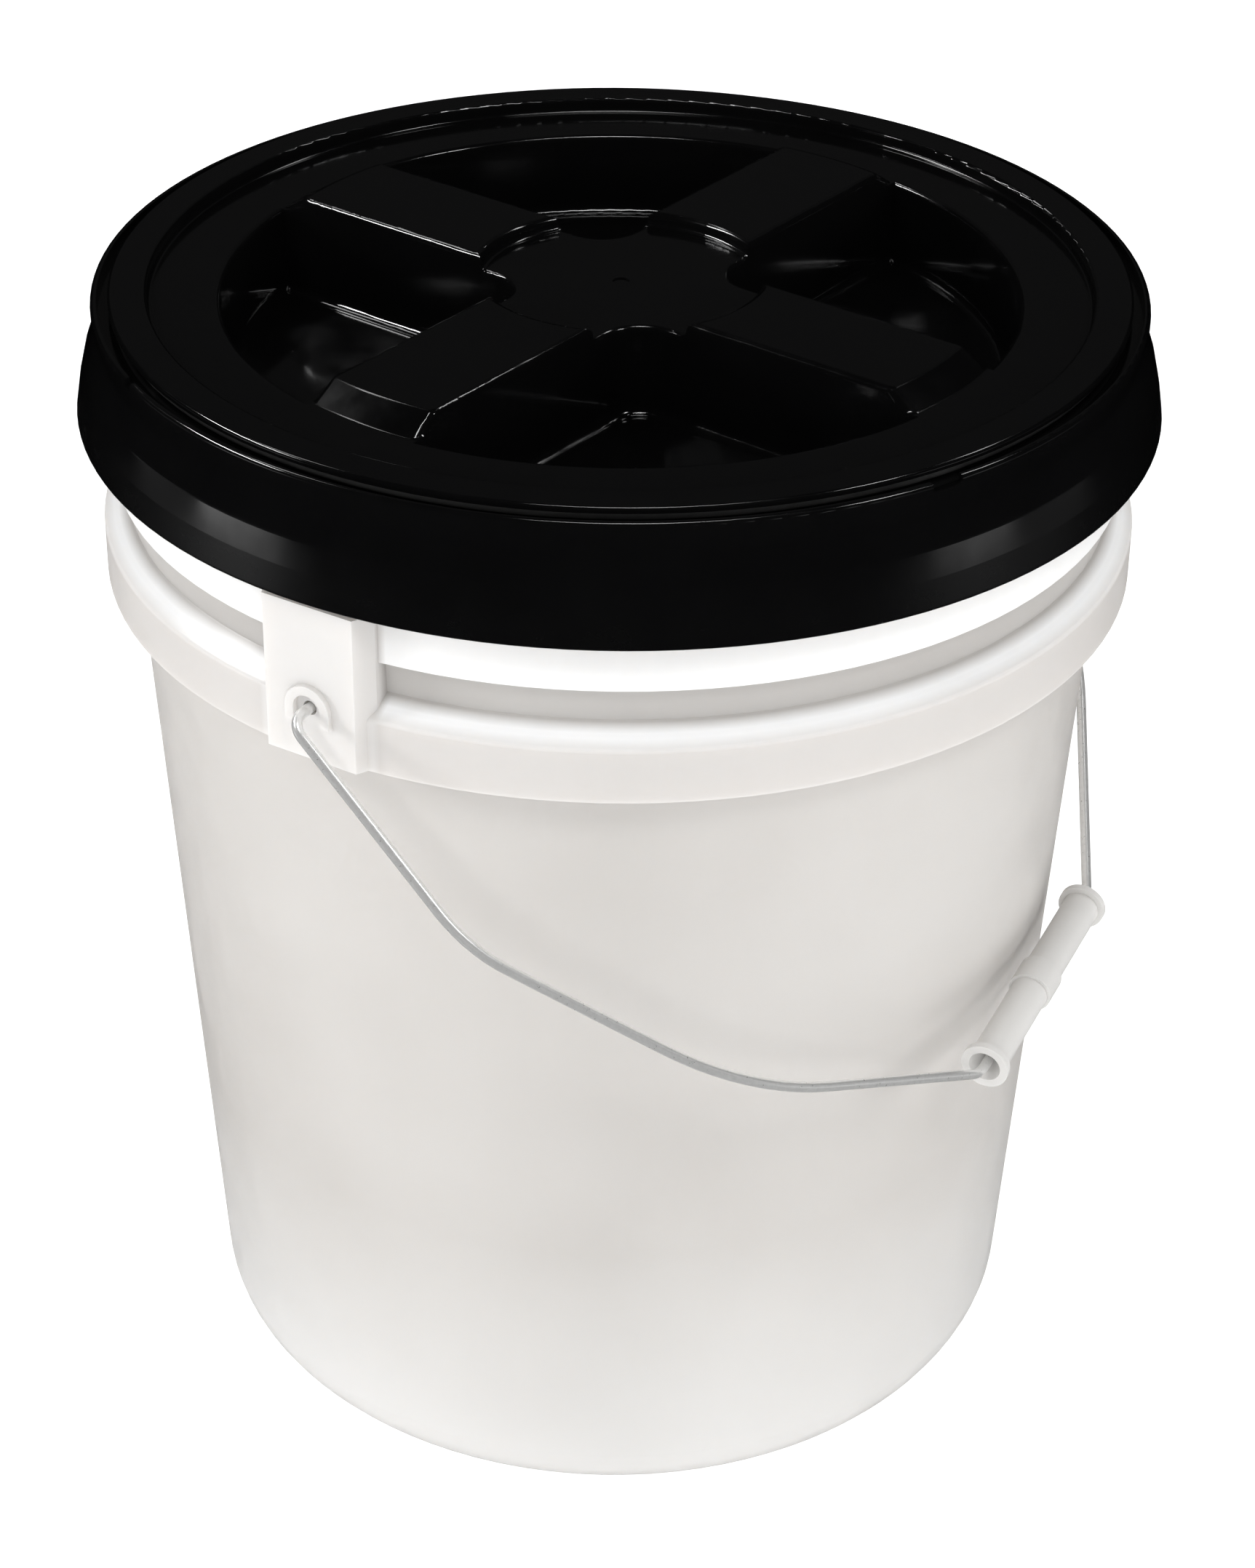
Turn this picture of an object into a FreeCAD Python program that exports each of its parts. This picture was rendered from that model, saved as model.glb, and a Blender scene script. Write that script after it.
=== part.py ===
"""Plastic fermenting bucket: a tapered pail with a wire bail, a push-fit threaded ring and a screw lid.

Millimetres, +Z up.  The origin is the middle of the base, the bail pivots lie on the X axis
and the bail hangs on the -Y side.
"""
import FreeCAD
import Part
import Sketcher
import math
import os
import re

App = FreeCAD
Vector = App.Vector
FULL_TURN = 360.0
POCKETS = 4
WEBS = 24
FOOT_RIBS = 8
THREAD_STARTS = 2
EARS = 2

# name, value, what it is
DIMENSIONS = [
    ("base_radius", 132.2, "pail outer radius carried down to the base"),
    ("wall_slope", 0.0593, "growth of the pail radius per unit of height"),
    ("wall", 2.3, "pail wall"),
    ("floor", 8.6, "inside floor height"),
    ("gutter_floor", 2.4, "height of the gutter round the inside floor, over the foot ring"),
    ("base_round", 19.5, "rounding of the bottom edge"),
    ("inner_round", 17.2, "rounding inside the bottom edge"),
    ("foot_inner", 104.0, "inner radius of the foot ring, which can stand on a lid's spokes"),
    ("foot_recess", 6.2, "depth of the recess inside the foot ring"),
    ("foot_rib_clear", 5.7, "height of the ribs' lower edges"),
    ("foot_rib", 3.0, "width of the ribs under the base"),
    ("boss_radius", 16.0, "boss in the middle of the base"),
    ("rim_height", 358.5, "pail rim"),
    ("collar_bottom", 280.3, "lower edge of the carrying collar"),
    ("collar_shoulder", 296.8, "outer edge of the collar's sloping roof"),
    ("collar_top", 302.4, "where the collar's roof meets the wall"),
    ("collar_radius", 158.0, "collar outer radius"),
    ("collar_round", 1.6, "rounding of the collar's shoulder"),
    ("web", 1.6, "thickness of the webs under the collar"),
    ("web_turn", 7.5, "direction of the first web, half a step away from the ears"),
    ("web_rise", 3.0, "height of the webs' lower edges above the collar's"),
    ("band_bottom", 313.5, "lower edge of the band below the rim"),
    ("band_top", 337.5, "upper edge of that band"),
    ("band_radius", 153.9, "band outer radius"),
    ("band_bevel", 2.0, "height of the bevel over the band"),
    ("neck_radius", 152.2, "groove above the band"),
    ("bead_bottom", 343.5, "start of the snap bead"),
    ("bead_low", 346.5, "widest part of the snap bead, lower end"),
    ("bead_high", 349.5, "widest part of the snap bead, upper end"),
    ("bead_radius", 155.2, "snap bead outer radius"),
    ("rim_radius", 153.4, "rim outer radius"),
    ("rim_bottom", 353.0, "lower end of the straight rim"),
    ("ear_face", 160.6, "flat outer face of each ear, from the axis"),
    ("ear_half", 15.2, "half width of that face"),
    ("ear_wing", 18.2, "half width of the ear at its root"),
    ("ear_wing_depth", 154.0, "where the ear's sloping sides end"),
    ("ear_root", 145.0, "inner end of the ear, inside the wall"),
    ("ear_top", 329.0, "top of the ears"),
    ("ear_plate", 3.0, "thickness behind the ear face"),
    ("ear_room_half", 11.0, "half width of the room behind the plate"),
    ("ear_room_back", 151.5, "back of that room"),
    ("ear_room_top", 321.0, "top of that room"),
    ("pivot_height", 297.0, "height of the bail's pivot"),
    ("pivot_hole", 4.4, "hole for the wire"),
    ("hood_inner", 4.6, "inner radius of the arch over the hole"),
    ("hood_outer", 7.4, "outer radius of the arch over the hole"),
    ("hood_leg", 4.5, "length of the arch's legs below the pivot"),
    ("hood_rise", 1.8, "how far the arch stands out"),
    ("wire", 3.1, "bail wire diameter"),
    ("hook_place", 153.6, "hooked wire end, from the axis"),
    ("hook_length", 7.0, "length of the hooked end"),
    ("leg_start", 170.0, "bail leg at the pivot, from the axis"),
    ("leg_end", 173.5, "bail leg at its lower bend"),
    ("leg_length", 70.9, "pivot to lower bend"),
    ("bow_place", 125.9, "middle of the bail's long bow, sideways"),
    ("bow_reach", 148.9, "middle of the bail's long bow, from the pivot"),
    ("grip_reach", 200.5, "pivot to the grip's axis"),
    ("grip_bend", 46.0, "wire bend beside each end of the grip"),
    ("hook_bend", 2.6, "bend radius of the hooked end"),
    ("pivot_bend", 6.0, "bend radius outside the ear"),
    ("leg_bend", 45.0, "bend radius at the end of a leg"),
    ("bow_bend", 110.0, "radius of the long bow"),
    ("stop_bend", 10.0, "bend radius beside the grip"),
    ("lean", 1400.0, "distance over which the bail's uneven set would halve its reach"),
    ("bail_tilt", 50.0, "angle between the hanging bail and the vertical"),
    ("grip_length", 86.0, "length of the grip"),
    ("grip_radius", 5.8, "radius of the grip's barrel"),
    ("flange_radius", 7.5, "radius of the grip's end flanges"),
    ("flange_width", 2.2, "width of the grip's end flanges"),
    ("belt_radius", 6.8, "radius of the band round the middle of the grip"),
    ("belt_half", 5.0, "half width of that band"),
    ("grip_bore", 2.05, "radius of the grip's bore"),
    ("mouth_radius", 5.0, "radius of the flared mouths"),
    ("mouth_depth", 6.0, "depth of the flared mouths"),
    ("skirt_bottom", 331.4, "lower edge of the ring's skirt"),
    ("skirt_radius", 164.0, "skirt outer radius at its lower edge"),
    ("skirt_mid", 340.6, "upper end of the skirt's steep part"),
    ("skirt_mid_radius", 162.5, "skirt outer radius there"),
    ("shoulder_low", 348.6, "lower end of the ring's shoulder"),
    ("shoulder_radius", 160.6, "ring outer radius there"),
    ("throat", 357.6, "narrowest height of the ring's outside"),
    ("throat_radius", 156.9, "ring outer radius there"),
    ("lip_top", 366.8, "top of the ring's lip"),
    ("lip_radius", 157.8, "lip outer radius"),
    ("lip_inner", 156.0, "lip inner radius"),
    ("lip_round", 1.2, "rounding of the lip's outer edge"),
    ("shoulder_round", 3.0, "rounding of the ring's shoulder"),
    ("skirt_round", 0.9, "rounding of the skirt's lower edge"),
    ("ring_wall", 2.3, "ring wall"),
    ("channel_outer", 154.8, "outer radius of the channel at its roof"),
    ("waist_height", 353.6, "where the channel starts to widen"),
    ("waist_inside", 155.4, "inner radius of the outside wall there"),
    ("shoulder_inside_height", 346.6, "inner corner behind the shoulder"),
    ("shoulder_inside", 158.1, "inner radius there"),
    ("channel_roof", 361.3, "roof of the channel that holds the pail rim"),
    ("seat_height", 363.8, "seat for the lid gasket"),
    ("seat_inner", 145.7, "inner radius of the seat"),
    ("shelf_height", 361.2, "shelf below the seat"),
    ("shelf_under", 358.6, "underside of that shelf"),
    ("plug_outer", 150.2, "outer radius of the leg inside the pail rim"),
    ("plug_wall", 2.2, "thickness of that leg"),
    ("plug_bottom", 349.0, "lower end of that leg"),
    ("plug_lead", 0.6, "how far the leg's end draws in"),
    ("plug_lead_height", 4.0, "height over which it draws in"),
    ("snap_inner", 154.0, "inner radius of the snap catch under the bead"),
    ("snap_high", 342.6, "upper end of the snap catch"),
    ("snap_back", 158.8, "inner radius of the wall above the catch"),
    ("snap_edge_high", 342.0, "upper end of the catch's crest"),
    ("snap_edge_low", 339.9, "lower end of the catch's crest"),
    ("snap_lead", 336.9, "start of the catch's lead-in"),
    ("bore_radius", 139.8, "inner radius of the ring's threaded wall"),
    ("bore_bottom", 335.0, "lower end of the threaded wall"),
    ("thread_lead", 12.0, "rise of the lid per turn"),
    ("thread_depth", 2.6, "height of a thread ridge"),
    ("thread_root", 2.4, "width of a ridge at its root"),
    ("thread_crest", 1.3, "width of a ridge at its crest"),
    ("ring_thread_start", 340.0, "start of the ring's ridges"),
    ("lid_thread_start", 343.0, "start of the lid's ridges"),
    ("thread_rise", 10.8, "height gained by each ridge"),
    ("thread_sink", 0.4, "how far a ridge's root runs into the wall"),
    ("key_width", 10.0, "width of the wide notch in the ring's lip"),
    ("key_angle", 246.2, "direction of the wide notch"),
    ("nick_width", 4.0, "width of the narrow notch"),
    ("nick_angle", 150.2, "direction of the narrow notch"),
    ("notch_floor", 364.4, "bottom of both notches"),
    ("overcut", 1.0, "how far a cut or an added block runs past the surface it meets"),
    ("lid_top", 370.0, "top of the lid's spokes"),
    ("rim_top", 368.8, "top of the lid's rim"),
    ("lid_radius", 152.6, "lid rim outer radius"),
    ("lid_flange_under", 367.0, "underside of the lid's rim"),
    ("recess_radius", 141.2, "outer radius of the stacking recess"),
    ("recess_floor", 364.5, "floor of the stacking recess"),
    ("plate", 2.4, "lid wall"),
    ("island_radius", 119.4, "outer end of the spokes at their foot"),
    ("island_top", 111.0, "outer end of the spokes' flat tops"),
    ("lid_skirt_radius", 136.4, "lid skirt outer radius"),
    ("lid_skirt_bottom", 340.0, "lower end of the lid skirt"),
    ("pocket_radius", 120.2, "outer radius of the hand pockets at the top"),
    ("pocket_side", 18.9, "half width of a spoke between pockets at the top"),
    ("pocket_nose", 13.0, "rounding of a pocket's inner end"),
    ("pocket_floor", 339.0, "floor of the hand pockets"),
    ("pocket_draft", 5.5, "draft of the pocket walls, degrees"),
    ("pocket_round", 3.0, "rounding round the pocket floors"),
    ("hub_radius", 43.0, "radius of the sunk hub"),
    ("hub_floor", 366.0, "top of the sunk hub"),
    ("hub_under", 363.5, "underside of the hub"),
    ("spoke_round", 2.0, "rounding of the spokes' edges"),
    ("spoke_corner", 2.5, "rounding of the corners at the spokes' outer ends"),
    ("spoke_foot", 1.5, "rounding where the spokes' ends meet the recess"),
    ("mouth_round", 1.6, "rounding of the pockets' outer edges"),
    ("hub_round", 1.5, "rounding round the sunk hub"),
    ("edge_round", 1.0, "rounding of the rim's edges"),
    ("gate_dimple", 2.5, "radius of the gate mark"),
    ("gate_depth", 0.4, "depth of the gate mark"),
    ("lid_angle", -5.1, "direction of the first spoke"),
    ("lid_seal_radius", 149.5, "middle radius of the lid gasket"),
    ("lid_seal_section", 1.6, "radius of the lid gasket's section"),
    ("rim_seal_inner", 151.1, "inner radius of the rim gasket"),
    ("rim_seal_outer", 153.3, "outer radius of the rim gasket"),
]
NAMES = [name for name, value, note in DIMENSIONS]
WORD = re.compile(r"[a-z_]+")

doc = App.newDocument("fermenting_bucket")
sheet = doc.addObject("Spreadsheet::Sheet", "Dims")


def fill_sheet():
    """One row per dimension: note, value with its alias."""
    for row, (name, value, note) in enumerate(DIMENSIONS, start=1):
        sheet.set(f"A{row}", note)
        sheet.set(f"B{row}", str(value))
        sheet.setAlias(f"B{row}", name)
    doc.recompute()


def bound(formula):
    """The formula with each dimension's name pointing at the sheet."""
    return WORD.sub(lambda hit: f"Dims.{hit.group()}" if hit.group() in NAMES else hit.group(), formula)


def value(formula):
    """The present number of a formula."""
    return float(sheet.evalExpression(bound(formula)))


def bind(thing, field, formula):
    thing.setExpression(field, bound(formula))


def outer(height):
    """Formula of the pail's outer radius at a height."""
    return f"(base_radius + wall_slope * ({height}))"


# ---------------------------------------------------------------- sketch and feature helpers

def new_body(name):
    body = doc.addObject("PartDesign::Body", name)
    body.Label = name
    return body


def origin_item(body, role):
    return next(item for item in body.Origin.OriginFeatures if item.Role == role)


def outline(body, name, role, corners, height="0"):
    """A closed outline on an origin plane.  A corner is (x, y) or (x, y, radius, centre x, centre y):
    the last three make the side that follows it an arc."""
    sketch = body.newObject("Sketcher::SketchObject", name)
    sketch.AttachmentSupport = [(origin_item(body, role), "")]
    sketch.MapMode = "FlatFace"
    bind(sketch, "AttachmentOffset.Base.z", height)
    count = len(corners)
    places = [Vector(value(corner[0]), value(corner[1]), 0) for corner in corners]
    for index, corner in enumerate(corners):
        start = places[index]
        end = places[(index + 1) % count]
        if len(corner) == 2:
            sketch.addGeometry(Part.LineSegment(start, end))
        else:
            centre = Vector(value(corner[3]), value(corner[4]), 0)
            half_way = (start + end) / 2 - centre
            middle = centre + half_way.normalize() * value(corner[2])
            sketch.addGeometry(Part.Arc(start, middle, end))
    for index, corner in enumerate(corners):
        join_and_place(sketch, index, (index + 1) % count, corner, corners[(index + 1) % count])
    return sketch


def start_point(sketch, index, place):
    """Which end of an edge is at a place: an arc always runs counter-clockwise."""
    first = sketch.getPoint(index, 1)
    return 1 if (first - place).Length < 1e-6 else 2


def join_and_place(sketch, index, following, corner, next_corner):
    """Joins an edge to the next one, and holds their common point and its own radius."""
    place = Vector(value(next_corner[0]), value(next_corner[1]), 0)
    end = start_point(sketch, index, place)
    begin = start_point(sketch, following, place)
    sketch.addConstraint(Sketcher.Constraint("Coincident", index, end, following, begin))
    across, up = next_corner[:2]
    for kind, formula, size in (("DistanceX", across, place.x), ("DistanceY", up, place.y)):
        number = sketch.addConstraint(Sketcher.Constraint(kind, -1, 1, index, end, size))
        bind(sketch, f"Constraints[{number}]", formula)
    if len(corner) > 2:
        number = sketch.addConstraint(Sketcher.Constraint("Radius", index, value(corner[2])))
        bind(sketch, f"Constraints[{number}]", corner[2])


def ring_sketch(body, name, role, radius, height="0", centre=("0", "0")):
    """A circle on an origin plane."""
    sketch = body.newObject("Sketcher::SketchObject", name)
    sketch.AttachmentSupport = [(origin_item(body, role), "")]
    sketch.MapMode = "FlatFace"
    bind(sketch, "AttachmentOffset.Base.z", height)
    middle = Vector(value(centre[0]), value(centre[1]), 0)
    sketch.addGeometry(Part.Circle(middle, Vector(0, 0, 1), value(radius)))
    number = sketch.addConstraint(Sketcher.Constraint("Radius", 0, value(radius)))
    bind(sketch, f"Constraints[{number}]", radius)
    for kind, formula, size in (("DistanceX", centre[0], middle.x), ("DistanceY", centre[1], middle.y)):
        number = sketch.addConstraint(Sketcher.Constraint(kind, -1, 1, 0, 3, size))
        bind(sketch, f"Constraints[{number}]", formula)
    return sketch


def spin(body, name, kind, sketch):
    """A full Revolution or Groove of a sketch about its vertical axis."""
    feature = body.newObject(f"PartDesign::{kind}", name)
    feature.Profile = sketch
    feature.ReferenceAxis = (sketch, ["V_Axis"])
    feature.Angle = FULL_TURN
    doc.recompute()
    return feature


def extrude(body, name, kind, sketch, length, backwards=False, both_ways=False):
    """A Pad or Pocket of a sketch."""
    feature = body.newObject(f"PartDesign::{kind}", name)
    feature.Profile = sketch
    bind(feature, "Length", length)
    feature.Reversed = backwards
    if both_ways:
        feature.SideType = "Symmetric"
    doc.recompute()
    return feature


def repeat(body, name, features, count):
    """Copies of features, evenly round the vertical axis."""
    pattern = body.newObject("PartDesign::PolarPattern", name)
    pattern.Originals = features
    pattern.Axis = (origin_item(body, "Z_Axis"), [""])
    pattern.Angle = FULL_TURN
    pattern.Occurrences = count
    body.Tip = pattern
    doc.recompute()
    return pattern


def round_edges(body, name, radius, chosen):
    """A fillet on each edge of the body's present shape for which chosen(edge) is true."""
    base = body.Tip
    names = [f"Edge{i}" for i, edge in enumerate(base.Shape.Edges, start=1) if chosen(edge)]
    fillet = body.newObject("PartDesign::Fillet", name)
    fillet.Base = (base, names)
    bind(fillet, "Radius", radius)
    body.Tip = fillet
    doc.recompute()
    return fillet


def circle_at(edge, radius, height):
    """Whether an edge is a full circle of a radius at a height."""
    box = edge.BoundBox
    flat = box.ZLength < 0.01 and abs(box.ZMin - value(height)) < 0.01
    return flat and abs(box.XMax - value(radius)) < 0.05 and abs(box.XMin + value(radius)) < 0.05


# ---------------------------------------------------------------- pail

def make_pail():
    """One moulding: foot, tapered wall, hollow carrying collar, band, snap bead and two ears."""
    body = new_body("pail")
    under_roof = "collar_top - wall * 1.3"
    section = outline(body, "pail_section", "XZ_Plane", [
        ("0", "0"),
        ("base_radius", "0"),
        (outer("collar_top - wall * 1.3"), under_roof),
        ("collar_radius - wall", "collar_shoulder - wall * 1.3"),
        ("collar_radius - wall", "collar_bottom"),
        ("collar_radius", "collar_bottom"),
        ("collar_radius", "collar_shoulder"),
        (outer("collar_top"), "collar_top"),
        (outer("band_bottom"), "band_bottom"),
        ("band_radius", "band_bottom"),
        ("band_radius", "band_top"),
        ("neck_radius", "band_top + band_bevel"),
        ("neck_radius", "bead_bottom"),
        ("bead_radius", "bead_low"),
        ("bead_radius", "bead_high"),
        ("rim_radius", "rim_bottom"),
        ("rim_radius", "rim_height"),
        ("0", "rim_height"),
    ])
    spin(body, "pail_blank", "Revolution", section)
    round_edges(body, "base_edge", "base_round", lambda edge: circle_at(edge, "base_radius", "0"))
    add_webs(body)
    add_ears(body)
    cut_inside(body)
    cut_foot(body)
    round_edges(body, "collar_edge", "collar_round", collar_shoulder_edge)
    return body


def collar_shoulder_edge(edge):
    """The outer edge of the collar's roof."""
    box = edge.BoundBox
    level = box.ZLength < 0.01 and abs(box.ZMin - value("collar_shoulder")) < 0.01
    middle = edge.valueAt((edge.FirstParameter + edge.LastParameter) / 2)
    return level and abs(math.hypot(middle.x, middle.y) - value("collar_radius")) < 0.05


def add_webs(body):
    """Upright webs in the hollow under the collar, clear of the ears."""
    sketch = outline(body, "web_outline", "XZ_Plane", [
        (outer("collar_bottom") + " - overcut", "collar_bottom + web_rise"),
        ("collar_radius - overcut", "collar_bottom + web_rise"),
        ("collar_radius - overcut", "collar_shoulder - wall"),
        (outer("collar_top") + " - overcut", "collar_top - wall"),
    ])
    sketch.AttachmentOffset = App.Placement(Vector(0, 0, 0), App.Rotation(Vector(0, 1, 0), value("web_turn")))
    web = extrude(body, "web_plate", "Pad", sketch, "web", both_ways=True)
    repeat(body, "webs", [web], WEBS)


def add_ears(body):
    """Two ears: a block with sloping sides, a room open downward for the wire's hook, and an arch."""
    block_sketch = outline(body, "ear_outline", "XY_Plane", [
        ("ear_root", "-ear_wing"),
        ("ear_wing_depth", "-ear_wing"),
        ("ear_face", "-ear_half"),
        ("ear_face", "ear_half"),
        ("ear_wing_depth", "ear_wing"),
        ("ear_root", "ear_wing"),
    ], height="collar_bottom")
    block = extrude(body, "ear_block", "Pad", block_sketch, "ear_top - collar_bottom")
    hood_sketch = outline(body, "hood_outline", "YZ_Plane", [
        ("hood_outer", "pivot_height - hood_leg"),
        ("hood_outer", "pivot_height", "hood_outer", "0", "pivot_height"),
        ("0", "pivot_height + hood_outer", "hood_outer", "0", "pivot_height"),
        ("-hood_outer", "pivot_height"),
        ("-hood_outer", "pivot_height - hood_leg"),
        ("-hood_inner", "pivot_height - hood_leg"),
        ("-hood_inner", "pivot_height", "hood_inner", "0", "pivot_height"),
        ("0", "pivot_height + hood_inner", "hood_inner", "0", "pivot_height"),
        ("hood_inner", "pivot_height"),
        ("hood_inner", "pivot_height - hood_leg"),
    ], height="ear_face - overcut")
    hood = extrude(body, "hood", "Pad", hood_sketch, "hood_rise + overcut")
    room_sketch = outline(body, "room_outline", "XY_Plane", [
        ("ear_room_back", "-ear_room_half"),
        ("ear_face - ear_plate", "-ear_room_half"),
        ("ear_face - ear_plate", "ear_room_half"),
        ("ear_room_back", "ear_room_half"),
    ], height="collar_bottom")
    room = extrude(body, "ear_room", "Pocket", room_sketch, "ear_room_top - collar_bottom", backwards=True)
    hole_sketch = ring_sketch(body, "hole_outline", "YZ_Plane", "pivot_hole / 2",
                              height="ear_room_back", centre=("0", "pivot_height"))
    hole = extrude(body, "pivot_holes", "Pocket", hole_sketch, "ear_face - ear_room_back + overcut",
                   backwards=True)
    repeat(body, "ears", [block, hood, room, hole], EARS)


def cut_inside(body):
    """The space inside the pail: raised floor, gutter over the foot ring, rounded corner and wall."""
    round_top = "gutter_floor + inner_round"
    round_middle = outer(round_top) + " - wall - inner_round"
    inside = outline(body, "inside_section", "XZ_Plane", [
        ("0", "floor"),
        ("foot_inner + wall", "floor"),
        ("foot_inner + wall", "gutter_floor"),
        (round_middle, "gutter_floor", "inner_round", round_middle, round_top),
        (round_middle + " + inner_round", round_top),
        (outer("rim_height") + " - wall", "rim_height"),
        ("0", "rim_height"),
    ])
    spin(body, "inside", "Groove", inside)


def cut_foot(body):
    """The recess inside the foot ring, a little deeper in sectors between ribs that meet at a boss."""
    half = "foot_rib / 2"
    inner = "sqrt(boss_radius * boss_radius - foot_rib * foot_rib / 4)"
    far = "sqrt(foot_inner * foot_inner - foot_rib * foot_rib / 4)"
    turned = 0.5 ** 0.5
    near_x, near_y = (f"({inner} + {half}) * {turned}", f"({inner} - {half}) * {turned}")
    far_x, far_y = (f"({far} + {half}) * {turned}", f"({far} - {half}) * {turned}")
    sketch = outline(body, "foot_outline", "XY_Plane", [
        (inner, half),
        (far, half, "foot_inner", "0", "0"),
        (far_x, far_y),
        (near_x, near_y, "boss_radius", "0", "0"),
    ])
    ring = ring_sketch(body, "foot_circle", "XY_Plane", "foot_inner")
    extrude(body, "foot_hollow", "Pocket", ring, "foot_rib_clear", backwards=True)
    sector = extrude(body, "foot_sector", "Pocket", sketch, "foot_recess", backwards=True)
    repeat(body, "foot_sectors", [sector], FOOT_RIBS)


# ---------------------------------------------------------------- ring

def make_ring():
    """The push-fit ring: outer skirt, channel over the pail rim, gasket seat, lip and threaded wall."""
    body = new_body("adapter_ring")
    section = outline(body, "ring_section", "XZ_Plane", [
        ("bore_radius", "bore_bottom"),
        ("bore_radius + ring_wall", "bore_bottom"),
        ("bore_radius + ring_wall", "shelf_under"),
        ("plug_outer - plug_wall", "shelf_under"),
        ("plug_outer - plug_wall", "plug_bottom"),
        ("plug_outer - plug_lead", "plug_bottom"),
        ("plug_outer", "plug_bottom + plug_lead_height"),
        ("plug_outer", "channel_roof"),
        ("channel_outer", "channel_roof"),
        ("waist_inside", "waist_height"),
        ("shoulder_inside", "shoulder_inside_height"),
        ("snap_back", "snap_high"),
        ("snap_inner", "snap_edge_high"),
        ("snap_inner", "snap_edge_low"),
        ("skirt_mid_radius - ring_wall", "snap_lead"),
        ("skirt_radius - ring_wall", "skirt_bottom"),
        ("skirt_radius", "skirt_bottom"),
        ("skirt_mid_radius", "skirt_mid"),
        ("shoulder_radius", "shoulder_low"),
        ("throat_radius", "throat"),
        ("lip_radius", "lip_top - 3"),
        ("lip_radius", "lip_top"),
        ("lip_inner", "lip_top"),
        ("lip_inner", "seat_height"),
        ("seat_inner", "seat_height"),
        ("seat_inner", "shelf_height"),
        ("bore_radius", "shelf_height"),
    ])
    spin(body, "ring_blank", "Revolution", section)
    soft_ring_edges(body)
    cut_notches(body)
    add_thread(body, "ring_thread", "bore_radius", "-thread_depth", "ring_thread_start")
    return body


def cut_notches(body):
    """Two notches in the lip: a wide one and a narrow one."""
    for name, width, angle in (("key", "key_width", "key_angle"), ("nick", "nick_width", "nick_angle")):
        sketch = outline(body, f"{name}_outline", "XY_Plane", [
            ("lip_inner - overcut", f"-{width} / 2"),
            ("lip_radius + overcut", f"-{width} / 2"),
            ("lip_radius + overcut", f"{width} / 2"),
            ("lip_inner - overcut", f"{width} / 2"),
        ], height="notch_floor")
        sketch.AttachmentOffset = App.Placement(Vector(0, 0, value("notch_floor")),
                                                App.Rotation(Vector(0, 0, 1), value(angle)))
        extrude(body, f"{name}_notch", "Pocket", sketch, "lip_top - notch_floor + overcut", backwards=True)


def soft_ring_edges(body):
    """Rounds the ring's visible corners."""
    corners = [
        ("lip_soft", "lip_round", "lip_radius", "lip_top"),
        ("shoulder_soft", "shoulder_round", "shoulder_radius", "shoulder_low"),
        ("skirt_soft", "skirt_round", "skirt_radius", "skirt_bottom"),
    ]
    for name, radius, place, height in corners:
        round_edges(body, name, radius, lambda edge: circle_at(edge, place, height))


def add_thread(body, name, radius, depth, start):
    """Two helical ridges of trapezoid section; a negative depth points inward."""
    sunk = "thread_sink" if value(depth) < 0 else "-thread_sink"
    sketch = outline(body, f"{name}_section", "XZ_Plane", [
        (f"{radius} + {sunk}", f"{start} - thread_root / 2"),
        (f"{radius} + {depth}", f"{start} - thread_crest / 2"),
        (f"{radius} + {depth}", f"{start} + thread_crest / 2"),
        (f"{radius} + {sunk}", f"{start} + thread_root / 2"),
    ])
    ridge = body.newObject("PartDesign::AdditiveHelix", f"{name}_ridge")
    ridge.Profile = sketch
    ridge.ReferenceAxis = (sketch, ["V_Axis"])
    ridge.Mode = 0
    bind(ridge, "Pitch", "thread_lead")
    bind(ridge, "Height", "thread_rise")
    doc.recompute()
    repeat(body, name, [ridge], THREAD_STARTS)


# ---------------------------------------------------------------- lid

def make_lid():
    """The screw lid: rim, stacking recess, threaded skirt, and four hand pockets between spokes."""
    body = new_body("lid")
    section = outline(body, "lid_section", "XZ_Plane", [
        ("0", "recess_floor - plate"),
        ("lid_skirt_radius - plate", "recess_floor - plate"),
        ("lid_skirt_radius - plate", "lid_skirt_bottom"),
        ("lid_skirt_radius", "lid_skirt_bottom"),
        ("lid_skirt_radius", "recess_floor - plate"),
        ("recess_radius + plate", "recess_floor - plate"),
        ("recess_radius + plate", "lid_flange_under"),
        ("lid_radius", "lid_flange_under"),
        ("lid_radius", "rim_top"),
        ("recess_radius", "rim_top"),
        ("recess_radius", "recess_floor"),
        ("island_radius", "recess_floor"),
        ("island_top", "lid_top"),
        ("0", "lid_top"),
    ])
    spin(body, "lid_blank", "Revolution", section)
    add_bowls(body)
    sink_hub(body)
    cut_pockets(body)
    hollow_spokes(body)
    soften_lid(body)
    add_thread(body, "lid_thread", "lid_skirt_radius", "thread_depth", "lid_thread_start")
    return body


def pocket_outline(body, name, side, reach, nose, height):
    """The plan of a pocket: two sides along neighbouring spokes, an outer arc and a rounded inner end."""
    along = f"sqrt(({reach}) * ({reach}) - ({side}) * ({side}))"
    centre = f"({side}) + ({nose})"
    return outline(body, name, "XY_Plane", [
        (centre, side),
        (along, side, reach, "0", "0"),
        (side, along),
        (side, centre, nose, centre, centre),
    ], height=height)


def add_bowls(body):
    """The pockets' outsides, hanging under the lid."""
    sketch = pocket_outline(body, "bowl_outline", "pocket_side - plate", "pocket_radius + plate",
                            "pocket_nose + plate", "recess_floor - plate / 2")
    bowl = extrude(body, "bowl", "Pad", sketch, "recess_floor - plate * 1.5 - pocket_floor + plate * 2",
                   backwards=True)
    bind(bowl, "TaperAngle", "-pocket_draft")
    doc.recompute()
    repeat(body, "bowls", [bowl], POCKETS)


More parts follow.
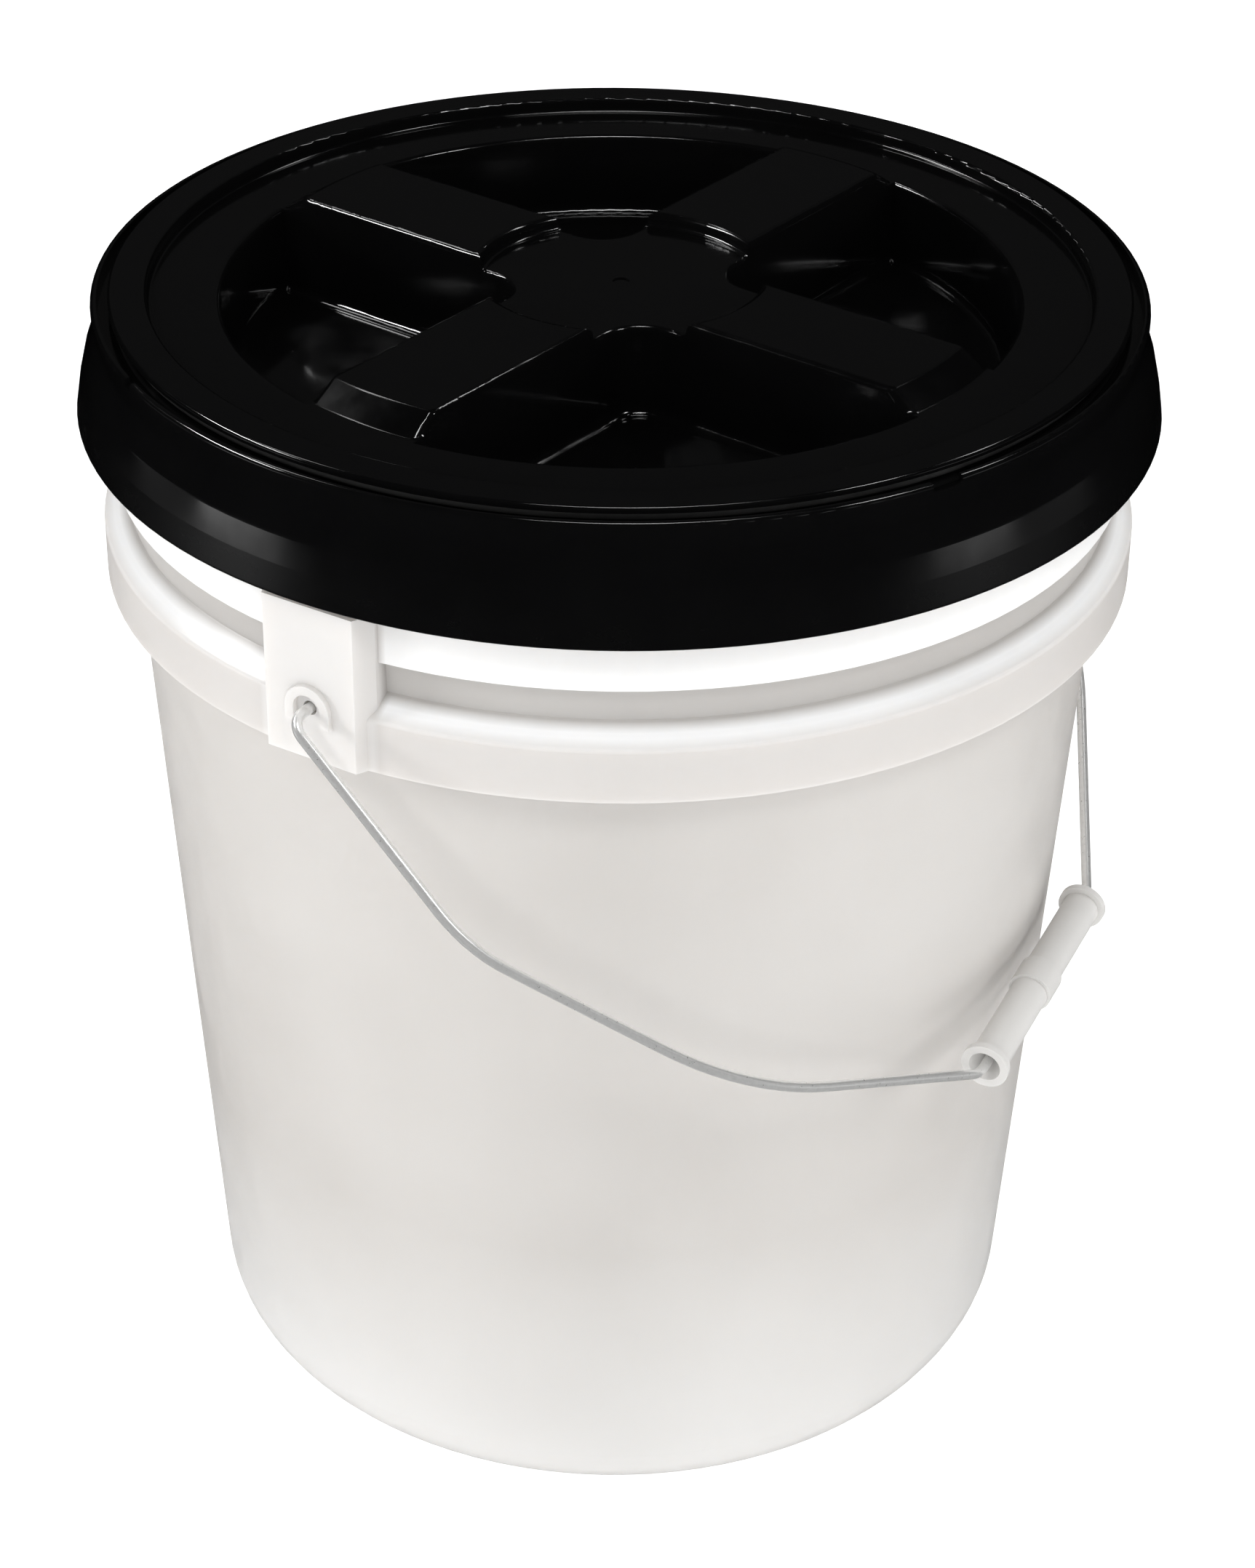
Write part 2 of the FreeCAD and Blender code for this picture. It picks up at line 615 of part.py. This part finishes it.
def sink_hub(body):
    """The sunk hub with its gate mark."""
    sketch = ring_sketch(body, "hub_outline", "XY_Plane", "hub_radius", height="hub_floor")
    extrude(body, "hub_recess", "Pocket", sketch, "lid_top - hub_floor + overcut", backwards=True)
    mark = ring_sketch(body, "gate_outline", "XY_Plane", "gate_dimple", height="hub_floor - gate_depth")
    extrude(body, "gate_mark", "Pocket", mark, "gate_depth + overcut", backwards=True)


def cut_pockets(body):
    """The four hand pockets."""
    sketch = pocket_outline(body, "pocket_plan", "pocket_side", "pocket_radius", "pocket_nose", "lid_top")
    pocket = extrude(body, "pocket", "Pocket", sketch, "lid_top - pocket_floor")
    bind(pocket, "TaperAngle", "-pocket_draft")
    doc.recompute()
    repeat(body, "pockets", [pocket], POCKETS)


def hollow_spokes(body):
    """The spokes and the hub are thin plates, open from below."""
    sketch = outline(body, "spoke_hollow_outline", "XY_Plane", [
        ("hub_radius + plate", "-pocket_side + plate"),
        ("island_top - plate", "-pocket_side + plate"),
        ("island_top - plate", "pocket_side - plate"),
        ("hub_radius + plate", "pocket_side - plate"),
    ], height="recess_floor - plate")
    hollow = extrude(body, "spoke_hollow", "Pocket", sketch, "lid_top - recess_floor", backwards=True)
    repeat(body, "spoke_hollows", [hollow], POCKETS)
    hub = ring_sketch(body, "hub_hollow_outline", "XY_Plane", "pocket_side", height="recess_floor - plate")
    extrude(body, "hub_hollow", "Pocket", hub, "hub_under - recess_floor + plate", backwards=True)


def soften_lid(body):
    """Rounds the lid's edges: pockets, spokes, hub, rim and recess."""
    soften = [
        ("pocket_floors", "pocket_round", lambda edge: level_edge(edge, "pocket_floor")),
        ("pocket_mouths", "mouth_round", lambda edge: level_edge(edge, "recess_floor", "pocket_radius")
         and edge.Length > value("pocket_radius")),
        ("spoke_corners", "spoke_corner", spoke_end_corner),
        ("spoke_feet", "spoke_foot", lambda edge: level_edge(edge, "recess_floor", "island_radius")
         and edge.Length > value("pocket_side")),
        ("spoke_edges", "spoke_round", lambda edge: level_edge(edge, "lid_top")),
        ("pocket_noses", "hub_round", lambda edge: level_edge(edge, "hub_floor")
         and value("pocket_side") < reach_of(edge) < value("hub_radius - overcut")),
        ("hub_foot", "hub_round", lambda edge: level_edge(edge, "hub_floor", "hub_radius")),
        ("rim_edges", "edge_round", lambda edge: level_edge(edge, "rim_top")),
        ("recess_foot", "edge_round", lambda edge: level_edge(edge, "recess_floor", "recess_radius")),
    ]
    for name, radius, chosen in soften:
        round_edges(body, name, radius, chosen)


def reach_of(edge):
    """Distance of an edge's middle from the vertical axis."""
    middle = edge.valueAt((edge.FirstParameter + edge.LastParameter) / 2)
    return math.hypot(middle.x, middle.y)


def level_edge(edge, height, reach=None):
    """Whether an edge is level, at a height, and with its middle about a given distance from the axis."""
    box = edge.BoundBox
    level = box.ZLength < 0.01 and abs(box.ZMin - value(height)) < 0.01
    return level and (reach is None or abs(reach_of(edge) - value(reach)) < 0.8)


def spoke_end_corner(edge):
    """The corners at the outer end of each spoke, rising from the recess to the spoke's top."""
    box = edge.BoundBox
    rising = box.ZLength > value("spoke_round") and box.ZMin > value("recess_floor") - 0.1
    return rising and value("island_top") - 0.1 < reach_of(edge) < value("pocket_radius") + 0.1


# ---------------------------------------------------------------- gaskets

def make_lid_gasket():
    """A round-section gasket between the lid's rim and the ring's seat."""
    seal = doc.addObject("Part::Torus", "lid_gasket")
    seal.Label = "lid_gasket"
    bind(seal, "Radius1", "lid_seal_radius")
    bind(seal, "Radius2", "lid_seal_section")
    bind(seal, "Placement.Base.z", "seat_height + lid_seal_section")
    return seal


def make_rim_gasket():
    """A flat gasket between the pail rim and the roof of the ring's channel."""
    parts = []
    for name, radius in (("rim_seal_blank", "rim_seal_outer"), ("rim_seal_hole", "rim_seal_inner")):
        tube = doc.addObject("Part::Cylinder", name)
        bind(tube, "Radius", radius)
        bind(tube, "Height", "channel_roof - rim_height")
        bind(tube, "Placement.Base.z", "rim_height")
        parts.append(tube)
    seal = doc.addObject("Part::Cut", "rim_gasket")
    seal.Label = "rim_gasket"
    seal.Base, seal.Tool = parts
    return seal


# ---------------------------------------------------------------- bail and grip

def bent_wire_path(corners):
    """Straight runs joined by tangent arcs: corners are (point, bend radius)."""
    edges = []
    start = corners[0][0]
    for before, here, after in zip(corners, corners[1:], corners[2:]):
        corner, radius = here
        back = (before[0] - corner).normalize()
        ahead = (after[0] - corner).normalize()
        half_turn = (math.pi - back.getAngle(ahead)) / 2
        reach = radius * math.tan(half_turn)
        inward = (back + ahead).normalize()
        middle = corner + inward * (radius / math.cos(half_turn) - radius)
        edges.append(Part.LineSegment(start, corner + back * reach))
        edges.append(Part.Arc(corner + back * reach, middle, corner + ahead * reach))
        start = corner + ahead * reach
    edges.append(Part.LineSegment(start, corners[-1][0]))
    return edges


def bail_corners():
    """The bail's corners in its own plane: x across, y from the pivot toward the grip.  The right
    half is mirrored, then every reach is scaled by the wire's uneven set."""
    half = [
        ("hook_place", "-hook_length", "hook_bend"),
        ("hook_place", "0", "hook_bend"),
        ("leg_start", "0", "pivot_bend"),
        ("leg_end", "leg_length", "leg_bend"),
        ("bow_place", "bow_reach", "bow_bend"),
        ("grip_bend", "grip_reach", "stop_bend"),
    ]
    right = [(value(across), value(reach), value(radius)) for across, reach, radius in half]
    left = [(-across, reach, radius) for across, reach, radius in right]
    whole = left + right[::-1]
    return [(Vector(across, reach * (1 - across / value("lean")), 0), radius)
            for across, reach, radius in whole]


def make_bail():
    """The wire, swept round its path in the bail's own plane, then turned to hang."""
    body = new_body("bail")
    path = body.newObject("Sketcher::SketchObject", "bail_path")
    path.AttachmentSupport = [(origin_item(body, "XY_Plane"), "")]
    path.MapMode = "FlatFace"
    path.addGeometry(bent_wire_path(bail_corners()))
    join_path(path)
    section = ring_sketch(body, "wire_section", "XZ_Plane", "wire / 2", height="hook_length",
                          centre=("-hook_place", "0"))
    wire = body.newObject("PartDesign::AdditivePipe", "bail_wire")
    wire.Profile = section
    wire.Spine = (path, [f"Edge{number}" for number in range(1, path.GeometryCount + 1)])
    body.Placement = App.Placement(Vector(0, 0, value("pivot_height")),
                                   App.Rotation(Vector(1, 0, 0), 270 - value("bail_tilt")))
    doc.recompute()
    return body


def join_path(path):
    """Joins each run to the next bend."""
    for index in range(path.GeometryCount - 1):
        for end in (1, 2):
            for begin in (1, 2):
                gap = (path.getPoint(index, end) - path.getPoint(index + 1, begin)).Length
                if gap < 1e-6:
                    path.addConstraint(Sketcher.Constraint("Coincident", index, end, index + 1, begin))
    doc.recompute()


def make_grip():
    """The moulded tube on the wire: barrel, middle band, end flanges and flared mouths."""
    body = new_body("grip")
    half = "grip_length / 2"
    section = outline(body, "grip_section", "XZ_Plane", [
        ("grip_bore", f"mouth_depth - {half}"),
        ("mouth_radius", f"-{half}"),
        ("flange_radius", f"-{half}"),
        ("flange_radius", f"flange_width - {half}"),
        ("grip_radius", f"flange_width - {half}"),
        ("grip_radius", "-belt_half"),
        ("belt_radius", "-belt_half"),
        ("belt_radius", "belt_half"),
        ("grip_radius", "belt_half"),
        ("grip_radius", f"{half} - flange_width"),
        ("flange_radius", f"{half} - flange_width"),
        ("flange_radius", half),
        ("mouth_radius", half),
        ("grip_bore", f"{half} - mouth_depth"),
    ])
    spin(body, "grip_tube", "Revolution", section)
    tilt = math.radians(value("bail_tilt"))
    reach = value("grip_reach")
    slope = math.atan(reach / value("lean"))
    down_the_bail = Vector(0, -math.sin(tilt), -math.cos(tilt))
    along_the_grip = Vector(1, 0, 0) * math.cos(slope) - down_the_bail * math.sin(slope)
    place = Vector(0, 0, value("pivot_height")) + down_the_bail * reach
    body.Placement = App.Placement(place, App.Rotation(Vector(0, 0, 1), along_the_grip))
    doc.recompute()
    return body


# ---------------------------------------------------------------- checks and export

def check_everything(pieces):
    """Stops if any object failed or any piece has no valid solid."""
    for item in doc.Objects:
        if "Invalid" in item.State or "Error" in item.State:
            raise RuntimeError(f"{item.Name} failed: {item.State}")
    for piece in pieces:
        if piece.Shape.isNull() or not piece.Shape.isValid():
            raise RuntimeError(f"{piece.Label} has no valid shape")


def main():
    fill_sheet()
    lid = make_lid()
    lid.Placement = App.Placement(Vector(0, 0, 0), App.Rotation(Vector(0, 0, 1), value("lid_angle")))
    pieces = [make_pail(), make_ring(), make_rim_gasket(), make_lid_gasket(), lid, make_bail(), make_grip()]
    doc.recompute()
    check_everything(pieces)
    os.makedirs("parts", exist_ok=True)
    for piece in pieces:
        piece.Shape.exportStep(f"parts/{piece.Label}.step")
        box = piece.Shape.optimalBoundingBox(False)
        print(piece.Label, len(piece.Shape.Solids), "solid", round(piece.Shape.Volume / 1000, 1), "cm3",
              [round(number, 1) for number in (box.XMin, box.YMin, box.ZMin, box.XMax, box.YMax, box.ZMax)])


main()
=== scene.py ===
"""Looks of the fermenting bucket: materials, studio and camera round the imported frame.  Metres, +Z up."""
import math

import bpy
from mathutils import Matrix, Vector

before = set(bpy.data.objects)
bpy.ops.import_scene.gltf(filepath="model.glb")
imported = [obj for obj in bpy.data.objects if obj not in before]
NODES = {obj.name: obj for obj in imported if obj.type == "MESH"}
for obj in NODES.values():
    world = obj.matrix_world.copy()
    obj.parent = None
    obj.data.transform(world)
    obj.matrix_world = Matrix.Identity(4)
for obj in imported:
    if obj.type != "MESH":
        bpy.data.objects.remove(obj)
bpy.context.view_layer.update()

# camera: where it stands round the object, and how it is turned
CAMERA_SIDE = -58.0
CAMERA_DISTANCE = 0.9997
CAMERA_HEIGHT = 0.8090
CAMERA_DOWN = 31.823
CAMERA_YAW = 0.215
CAMERA_ROLL = 0.680
CAMERA_LENS = 82.99
CAMERA_SENSOR = 36.0
CAMERA_SIGHT = 100

# the pail: its plain wall's outer radius at the base and growth per height, the height up to which the
# lower wall is coloured lighter as painted light bounced up from the floor, the height of the collar's
# shoulder, and half the width of an ear
BASE_RADIUS = 0.1322
WALL_SLOPE = 0.0593
PAINTED_BOUNCE_TOP = 0.105
COLLAR_SHOULDER = 0.297
EAR_HALF = 0.0185

# the ring: its outside is handled and dull from this radius outward
SKIRT_REACH = 0.1600

# colours, each as a darker and a lighter cloud
WALL = (0.535, 0.510, 0.485), (0.590, 0.566, 0.542)
# painted light: the lower wall is coloured lighter, standing in for light bounced up from the floor
FOOT_PAINTED_BOUNCE = (0.710, 0.692, 0.672), (0.750, 0.734, 0.714)
COLLAR = (0.570, 0.545, 0.525), (0.600, 0.577, 0.557)
# the band and the collar's roof above its shoulder: partly the whiter thick moulding, partly painted light
# lifting the shade under the ring
BAND_WHITE_AND_PAINTED_LIGHT = (0.930, 0.925, 0.918), (0.950, 0.946, 0.940)
# painted shade: the plain wall above the collar's shoulder, in the groove under the ring, is coloured
# darker in place of the ring's shade
PAINTED_GROOVE_SHADE = (0.430, 0.411, 0.393), (0.470, 0.452, 0.434)
EAR = (0.640, 0.622, 0.605), (0.670, 0.653, 0.637)
BLACK = (0.0016, 0.0016, 0.0017), (0.0026, 0.0026, 0.0027)
RUBBER = (0.020, 0.020, 0.020), (0.045, 0.045, 0.044)
STEEL = (0.72, 0.72, 0.71), (0.92, 0.92, 0.91)
GRIP = (0.590, 0.580, 0.565), (0.660, 0.650, 0.635)
PAPER = (0.93, 0.93, 0.93), (0.95, 0.95, 0.95)

# the floor: half its width, and how brightly the paper glows near the object and far off
FLOOR_HALF = 30.0
NEAR_GLOW = 0.50
FAR_GLOW = 0.78
NEAR_REACH = 0.4
FAR_REACH = 1.4

# light: how bright the air round the object is, and the softboxes
AIR_GLOW = 0.40
# name, side from the camera in degrees, distance, height, width, tallness, power, height of its target,
# and whether it lights surfaces, is mirrored by them, or both
SOFTBOXES = [
    ("key", -50, 1.25, 1.40, 0.55, 0.35, 4.0, 0.22, "lights"),
    ("fill", 28, 1.10, 1.45, 0.45, 0.30, 4.4, 0.22, "lights"),
    ("front", 0, 1.50, 0.62, 0.80, 0.45, 5.6, 0.27, "lights"),
    ("left_side", -82, 1.30, 0.55, 0.26, 0.26, 6.4, 0.20, "lights"),
    ("right_side", 78, 1.30, 0.60, 0.50, 0.40, 4.8, 0.20, "lights"),
    ("top", 10, 0.35, 2.00, 0.35, 0.35, 1.5, 0.30, "both"),
    ("back_left", -138, 1.10, 1.75, 0.60, 0.12, 1.4, 0.37, "both"),
    ("back_right", 130, 1.10, 1.65, 0.60, 0.12, 1.6, 0.37, "both"),
    ("back_panel", 180, 1.60, 1.50, 2.60, 1.30, 0.20, 0.37, "both"),
    ("left_glint", -98, 1.00, 1.17, 0.66, 0.12, 9.0, 0.37, "mirrored"),
    ("right_glint", 67, 1.15, 1.65, 0.40, 0.16, 4.0, 0.37, "mirrored"),
    ("top_glint", 10, 0.35, 1.90, 0.80, 0.10, 5.0, 0.37, "mirrored"),
    ("left_streak", -76, 1.15, 0.185, 0.44, 0.14, 0.25, 0.33, "mirrored"),
    ("left_haze", -84, 1.15, 0.14, 1.10, 0.30, 0.10, 0.33, "mirrored"),
    ("right_streak", 70, 1.15, 0.205, 0.40, 0.12, 0.10, 0.33, "mirrored"),
    ("right_haze", 78, 1.15, 0.14, 1.10, 0.30, 0.09, 0.33, "mirrored"),
]


# ---------------------------------------------------------------- material helpers

def new_material(name):
    """A material with only an output and a Principled shader; returns it, its tree and the shader."""
    material = bpy.data.materials.new(name)
    material.use_nodes = True
    tree = material.node_tree
    shader = next(node for node in tree.nodes if node.type == "BSDF_PRINCIPLED")
    return material, tree, shader


def node(tree, kind, settings=None, **inputs):
    """A node with its settings and inputs; an input that is a socket is linked."""
    made = tree.nodes.new(kind)
    for key, setting in (settings or {}).items():
        setattr(made, key, setting)
    for key, entry in inputs.items():
        socket = made.inputs[key.replace("_", " ")]
        if isinstance(entry, bpy.types.NodeSocket):
            tree.links.new(entry, socket)
        else:
            socket.default_value = entry
    return made


def object_place(tree, scale=(1, 1, 1)):
    """The point's place on the object, in metres, stretched by a scale."""
    place = tree.nodes.new("ShaderNodeTexCoord")
    mapping = node(tree, "ShaderNodeMapping", Vector=place.outputs["Object"])
    mapping.inputs["Scale"].default_value = scale
    return mapping.outputs["Vector"]


def noise(tree, vector, scale, detail=3.0, roughness=0.5):
    made = node(tree, "ShaderNodeTexNoise", Vector=vector, Scale=scale, Detail=detail, Roughness=roughness)
    return made.outputs["Fac"]


def spread(tree, value, low, high, from_low=0.0, from_high=1.0):
    """A value moved from one range to another."""
    ends = {"From Min": from_low, "From Max": from_high, "To Min": low, "To Max": high}
    made = node(tree, "ShaderNodeMapRange", Value=value)
    for name, number in ends.items():
        made.inputs[name].default_value = number
    return made.outputs["Result"]


def tint(tree, value, low, high):
    """A colour between two, by a value from 0 to 1."""
    made = node(tree, "ShaderNodeMix", {"data_type": "RGBA"})
    tree.links.new(value, made.inputs["Factor"])
    made.inputs["A"].default_value = (*low, 1)
    made.inputs["B"].default_value = (*high, 1)
    return made.outputs["Result"]


def blend(tree, value, low, high):
    """A colour between two colour sockets, by a value from 0 to 1."""
    made = node(tree, "ShaderNodeMix", {"data_type": "RGBA"})
    for name, socket in (("Factor", value), ("A", low), ("B", high)):
        tree.links.new(socket, made.inputs[name])
    return made.outputs["Result"]


def bump(tree, height, strength, distance):
    made = node(tree, "ShaderNodeBump", Height=height, Strength=strength, Distance=distance)
    return made.outputs["Normal"]


def add(tree, first, second, weight=1.0):
    """first + second * weight."""
    made = node(tree, "ShaderNodeMath", {"operation": "MULTIPLY_ADD"})
    tree.links.new(second, made.inputs[0])
    made.inputs[1].default_value = weight
    tree.links.new(first, made.inputs[2])
    return made.outputs["Value"]


def length(tree, vector):
    return node(tree, "ShaderNodeVectorMath", {"operation": "LENGTH"}, Vector=vector).outputs["Value"]


def reach_from_axis(tree, place):
    """How far a point is from the object's upright axis."""
    level = node(tree, "ShaderNodeVectorMath", {"operation": "MULTIPLY"}, Vector=place)
    level.inputs[1].default_value = (1, 1, 0)
    return length(tree, level.outputs["Vector"])


# ---------------------------------------------------------------- materials

def pail_plastic():
    """Natural white polyethylene: satin, a little see-through, with faint clouds and scuffs; painted light
    on the lower wall and on the band above the collar, and painted shade in the groove under the ring.
    """
    material, tree, shader = new_material("pail_plastic")
    place = object_place(tree)
    clouds = spread(tree, noise(tree, place, 9.0, 2.0), 0, 1, 0.3, 0.7)
    parts = node(tree, "ShaderNodeSeparateXYZ", Vector=place)
    height = parts.outputs["Z"]
    aside = node(tree, "ShaderNodeMath", {"operation": "ABSOLUTE"})
    tree.links.new(parts.outputs["Y"], aside.inputs[0])
    proud = add(tree, reach_from_axis(tree, place), height, -WALL_SLOPE)

    # painted light: 1 at the base, fading to 0 higher up, where the lower wall is lightened in place of
    # floor bounce light
    in_painted_bounce = spread(tree, height, 1, 0, 0.01, PAINTED_BOUNCE_TOP)
    # painted shade: 1 on the plain wall above the collar's shoulder, where the groove under the ring is
    # darkened
    in_groove_shade = spread(tree, height, 0, 1, COLLAR_SHOULDER, COLLAR_SHOULDER + 0.004)
    # 1 on the moulding above the collar's shoulder, where band and roof are coloured partly as painted
    # light
    in_band_painted_light = spread(tree, height, 0, 1, COLLAR_SHOULDER - 0.001, COLLAR_SHOULDER + 0.002)
    on_ear = spread(tree, aside.outputs["Value"], 1, 0, EAR_HALF, EAR_HALF + 0.002)
    on_moulding = spread(tree, proud, 0, 1, BASE_RADIUS + 0.0005, BASE_RADIUS + 0.0035)

    # above the collar's shoulder the moulding takes the whiter colour, partly painted light against the
    # ring's shade
    moulding = blend(tree, in_band_painted_light, tint(tree, clouds, *COLLAR), tint(tree, clouds, *BAND_WHITE_AND_PAINTED_LIGHT))
    moulding = blend(tree, on_ear, moulding, tint(tree, clouds, *EAR))
    # painted light from the floor lightens the lower wall
    colour = blend(tree, in_painted_bounce, tint(tree, clouds, *WALL), tint(tree, clouds, *FOOT_PAINTED_BOUNCE))
    # painted shade darkens the groove under the ring
    colour = blend(tree, in_groove_shade, colour, tint(tree, clouds, *PAINTED_GROOVE_SHADE))
    colour = blend(tree, on_moulding, colour, moulding)
    tree.links.new(colour, shader.inputs["Base Color"])
    shader.inputs["Subsurface Weight"].default_value = 0.35
    shader.inputs["Subsurface Radius"].default_value = (0.010, 0.009, 0.008)
    shader.inputs["Subsurface Scale"].default_value = 1.0
    roughness = spread(tree, noise(tree, place, 60.0, 4.0), 0.30, 0.42, 0.3, 0.7)
    tree.links.new(roughness, shader.inputs["Roughness"])
    ripple = noise(tree, object_place(tree, (1, 1, 0.35)), 26.0, 2.0)
    grain = noise(tree, place, 900.0, 2.0)
    tree.links.new(bump(tree, add(tree, ripple, grain, 0.05), 0.25, 0.0006), shader.inputs["Normal"])
    return material


def lid_plastic():
    """Glossy black moulding with a faint grain and handling marks, duller on the ring's outside."""
    material, tree, shader = new_material("lid_plastic")
    place = object_place(tree)
    marks = noise(tree, place, 45.0, 6.0, 0.62)
    tree.links.new(tint(tree, marks, *BLACK), shader.inputs["Base Color"])
    handled = spread(tree, reach_from_axis(tree, place), 0, 0.15, SKIRT_REACH, SKIRT_REACH + 0.003)
    roughness = add(tree, spread(tree, marks, 0.06, 0.17, 0.3, 0.75), handled)
    tree.links.new(roughness, shader.inputs["Roughness"])
    ripple = noise(tree, place, 30.0, 2.0)
    grain = noise(tree, place, 1400.0, 2.0)
    tree.links.new(bump(tree, add(tree, ripple, grain, 0.03), 0.12, 0.0005), shader.inputs["Normal"])
    return material


def gasket_rubber():
    """Matt black elastomer."""
    material, tree, shader = new_material("gasket_rubber")
    place = object_place(tree)
    dust = noise(tree, place, 220.0, 4.0)
    tree.links.new(tint(tree, dust, *RUBBER), shader.inputs["Base Color"])
    tree.links.new(spread(tree, dust, 0.62, 0.8), shader.inputs["Roughness"])
    return material


def bail_wire():
    """Bright drawn steel wire with fine die marks."""
    material, tree, shader = new_material("bail_wire")
    place = object_place(tree)
    marks = noise(tree, place, 700.0, 5.0, 0.6)
    tree.links.new(tint(tree, marks, *STEEL), shader.inputs["Base Color"])
    shader.inputs["Metallic"].default_value = 0.65
    tree.links.new(spread(tree, marks, 0.22, 0.38), shader.inputs["Roughness"])
    tree.links.new(bump(tree, marks, 0.15, 0.0001), shader.inputs["Normal"])
    return material


def grip_plastic():
    """White moulded tube, satin."""
    material, tree, shader = new_material("grip_plastic")
    place = object_place(tree)
    clouds = noise(tree, place, 40.0, 3.0)
    tree.links.new(tint(tree, clouds, *GRIP), shader.inputs["Base Color"])
    shader.inputs["Subsurface Weight"].default_value = 0.2
    shader.inputs["Subsurface Radius"].default_value = (0.004, 0.004, 0.004)
    shader.inputs["Subsurface Scale"].default_value = 1.0
    tree.links.new(spread(tree, clouds, 0.32, 0.45), shader.inputs["Roughness"])
    tree.links.new(bump(tree, noise(tree, place, 500.0, 3.0), 0.1, 0.0002), shader.inputs["Normal"])
    return material


def dress(name, material):
    """Gives a CAD node its material."""
    thing = NODES[name]
    thing.data.materials.clear()
    thing.data.materials.append(material)


# ---------------------------------------------------------------- studio

def floor_material():
    """White paper on a light table, which glows more far off."""
    material, tree, shader = new_material("floor_paper")
    place = object_place(tree)
    tree.links.new(tint(tree, noise(tree, place, 3.0, 2.0), *PAPER), shader.inputs["Base Color"])
    shader.inputs["Roughness"].default_value = 0.9
    shader.inputs["Emission Color"].default_value = (1, 1, 1, 1)
    glow = spread(tree, length(tree, place), NEAR_GLOW, FAR_GLOW, NEAR_REACH, FAR_REACH)
    tree.links.new(glow, shader.inputs["Emission Strength"])
    return material


def add_floor():
    """A wide pale floor, left out of the gloss so that dark plastic stays dark."""
    corners = [(x * FLOOR_HALF, y * FLOOR_HALF, 0) for x, y in ((-1, -1), (1, -1), (1, 1), (-1, 1))]
    mesh = bpy.data.meshes.new("floor")
    mesh.from_pydata(corners, [], [(0, 1, 2, 3)])
    floor = bpy.data.objects.new("floor", mesh)
    bpy.context.scene.collection.objects.link(floor)
    mesh.materials.append(floor_material())
    floor.visible_glossy = False


def toward(place, target):
    """The rotation that turns a lamp at a place to a target."""
    return (Vector(target) - Vector(place)).to_track_quat("-Z", "Y").to_euler()


def add_softbox(name, side, distance, height, width, tallness, power, target, use):
    """An area light at a direction round the object, aimed at a height on its axis."""
    turn = math.radians(CAMERA_SIDE + side)
    lamp = bpy.data.lights.new(name, "AREA")
    lamp.shape = "ELLIPSE"
    lamp.size = width
    lamp.size_y = tallness
    lamp.energy = power
    thing = bpy.data.objects.new(name, lamp)
    thing.location = (distance * math.sin(turn), -distance * math.cos(turn), height)
    thing.rotation_euler = toward(thing.location, (0, 0, target))
    thing.visible_camera = False
    thing.visible_diffuse = use != "mirrored"
    thing.visible_glossy = use != "lights"
    bpy.context.scene.collection.objects.link(thing)


def add_world(strength):
    """Even light from all round, left out of the gloss."""
    world = bpy.data.worlds.new("studio")
    bpy.context.scene.world = world
    world.use_nodes = True
    background = next(item for item in world.node_tree.nodes if item.type == "BACKGROUND")
    background.inputs["Color"].default_value = (1, 1, 1, 1)
    background.inputs["Strength"].default_value = strength
    world.cycles_visibility.glossy = False


def add_camera():
    """The camera at the chosen view."""
    camera = bpy.data.cameras.new("view")
    camera.lens = CAMERA_LENS
    camera.sensor_width = CAMERA_SENSOR
    camera.clip_end = CAMERA_SIGHT
    thing = bpy.data.objects.new("view", camera)
    turn = math.radians(CAMERA_SIDE)
    place = Vector((CAMERA_DISTANCE * math.sin(turn), -CAMERA_DISTANCE * math.cos(turn), CAMERA_HEIGHT))
    spin = (Matrix.Rotation(math.radians(CAMERA_SIDE - CAMERA_YAW), 4, "Z")
            @ Matrix.Rotation(math.radians(90 - CAMERA_DOWN), 4, "X")
            @ Matrix.Rotation(math.radians(CAMERA_ROLL), 4, "Z"))
    thing.matrix_world = Matrix.Translation(place) @ spin
    bpy.context.scene.collection.objects.link(thing)
    bpy.context.scene.camera = thing


# ---------------------------------------------------------------- scene

add_camera()
add_world(AIR_GLOW)
add_floor()
for softbox in SOFTBOXES:
    add_softbox(*softbox)

black = lid_plastic()
rubber = gasket_rubber()
dress("pail", pail_plastic())
dress("adapter_ring", black)
dress("lid", black)
dress("rim_gasket", rubber)
dress("lid_gasket", rubber)
dress("bail", bail_wire())
dress("grip", grip_plastic())

bpy.context.scene.view_settings.view_transform = "Standard"
